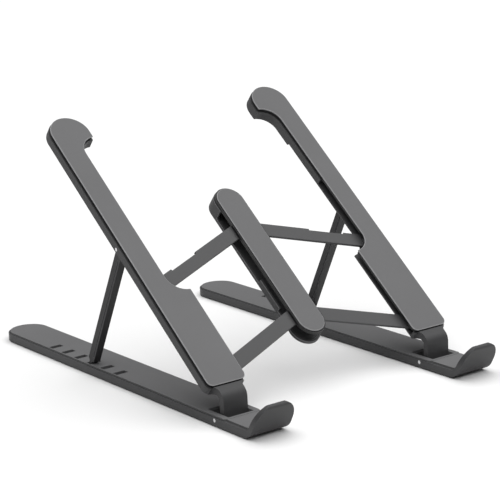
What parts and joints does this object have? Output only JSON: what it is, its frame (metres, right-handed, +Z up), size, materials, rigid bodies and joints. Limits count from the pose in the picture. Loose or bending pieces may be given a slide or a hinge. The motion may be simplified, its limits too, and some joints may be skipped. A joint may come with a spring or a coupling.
{
  "type": "laptop stand",
  "caption": "Folding laptop stand: two base rails with front hooks carry sloping support arms held by prop legs, spread apart on parallel links from a centre bar.",
  "frame": {"origin": "under the middle of the whole stand, on the table surface", "axes": "+Z up, +Y towards the rear, away from the user; the hooks are at the -Y end; +X towards the user's right"},
  "size_m": [0.16, 0.2436, 0.1347],
  "materials": {
    "shell_dark": "fine matte texture",
    "deck": "fine matte texture",
    "cover_dark": "fine matte texture",
    "pad": "smooth silicone",
    "foot_rubber": "matte silicone",
    "link": "satin",
    "leg": "satin",
    "steel": "brushed"
  },
  "bodies": {
    "centre_bar": {"bar_shell": "shell_dark", "bar_cover": "cover_dark", "bar_pad": "pad", "bar_screws": "steel", "bar_washers": "steel"},
    "left_base": {"left_base_shell": "shell_dark", "left_base_deck": "deck", "left_hook_pad": "pad", "left_front_foot": "foot_rubber", "left_rear_foot": "foot_rubber", "left_hinge_pin": "steel", "left_base_screws": "steel"},
    "left_arm": {"left_arm_shell": "shell_dark", "left_arm_cover": "cover_dark", "left_arm_pad": "pad", "left_arm_screws": "steel", "left_arm_washers": "steel", "left_leg_pin": "steel"},
    "left_prop_leg": {"left_leg": "leg"},
    "left_top_link": {"left_upper_link": "link"},
    "left_bottom_link": {"left_lower_link": "link"},
    "right_base": {"right_base_shell": "shell_dark", "right_base_deck": "deck", "right_hook_pad": "pad", "right_front_foot": "foot_rubber", "right_rear_foot": "foot_rubber", "right_hinge_pin": "steel", "right_base_screws": "steel"},
    "right_arm": {"right_arm_shell": "shell_dark", "right_arm_cover": "cover_dark", "right_arm_pad": "pad", "right_arm_screws": "steel", "right_arm_washers": "steel", "right_leg_pin": "steel"},
    "right_prop_leg": {"right_leg": "leg"},
    "right_top_link": {"right_upper_link": "link"},
    "right_bottom_link": {"right_lower_link": "link"}
  },
  "joints": [
    {"name": "left_spread", "type": "hinge", "parent": "centre_bar", "child": "left_top_link", "pos_m": [0, -0.00814, 0.07426], "axis": [0, -0.6266, 0.7793], "range_deg": [0, 58]},
    {"name": "left_bottom_link_hinge", "type": "hinge", "parent": "centre_bar", "child": "left_bottom_link", "pos_m": [0, -0.05482, 0.03673], "axis": [0, -0.6266, 0.7793], "range_deg": [0, 58]},
    {"name": "left_arm_hinge", "type": "hinge", "parent": "left_top_link", "child": "left_arm", "pos_m": [-0.0705, -0.02868, 0.05774], "axis": [0, -0.6266, 0.7793], "range_deg": [-58, 0]},
    {"name": "left_fold", "type": "hinge", "parent": "left_arm", "child": "left_base", "pos_m": [-0.068, -0.08516, 0.00335], "axis": [1, 0, 0], "range_deg": [0, 20]},
    {"name": "left_leg_hinge", "type": "hinge", "parent": "left_arm", "child": "left_prop_leg", "pos_m": [-0.0755, -0.00462, 0.07554], "axis": [1, 0, 0], "range_deg": [0, 102.14]},
    {"name": "right_spread", "type": "hinge", "parent": "centre_bar", "child": "right_top_link", "pos_m": [0, -0.00814, 0.07426], "axis": [0, 0.6266, -0.7793], "range_deg": [0, 58]},
    {"name": "right_bottom_link_hinge", "type": "hinge", "parent": "centre_bar", "child": "right_bottom_link", "pos_m": [0, -0.05482, 0.03673], "axis": [0, 0.6266, -0.7793], "range_deg": [0, 58]},
    {"name": "right_arm_hinge", "type": "hinge", "parent": "right_top_link", "child": "right_arm", "pos_m": [0.0705, -0.02868, 0.05774], "axis": [0, 0.6266, -0.7793], "range_deg": [-58, 0]},
    {"name": "right_fold", "type": "hinge", "parent": "right_arm", "child": "right_base", "pos_m": [0.068, -0.08516, 0.00335], "axis": [1, 0, 0], "range_deg": [0, 20]},
    {"name": "right_leg_hinge", "type": "hinge", "parent": "right_arm", "child": "right_prop_leg", "pos_m": [0.0755, -0.00462, 0.07554], "axis": [1, 0, 0], "range_deg": [0, 102.14]}
  ],
  "couplings": [
    {"joint": "left_bottom_link_hinge", "follows": "left_spread", "ratio": 1},
    {"joint": "left_arm_hinge", "follows": "left_spread", "ratio": -1},
    {"joint": "left_leg_hinge", "follows": "left_fold", "ratio": 5.1071},
    {"joint": "right_bottom_link_hinge", "follows": "right_spread", "ratio": 1},
    {"joint": "right_arm_hinge", "follows": "right_spread", "ratio": -1},
    {"joint": "right_leg_hinge", "follows": "right_fold", "ratio": 5.1071}
  ]
}
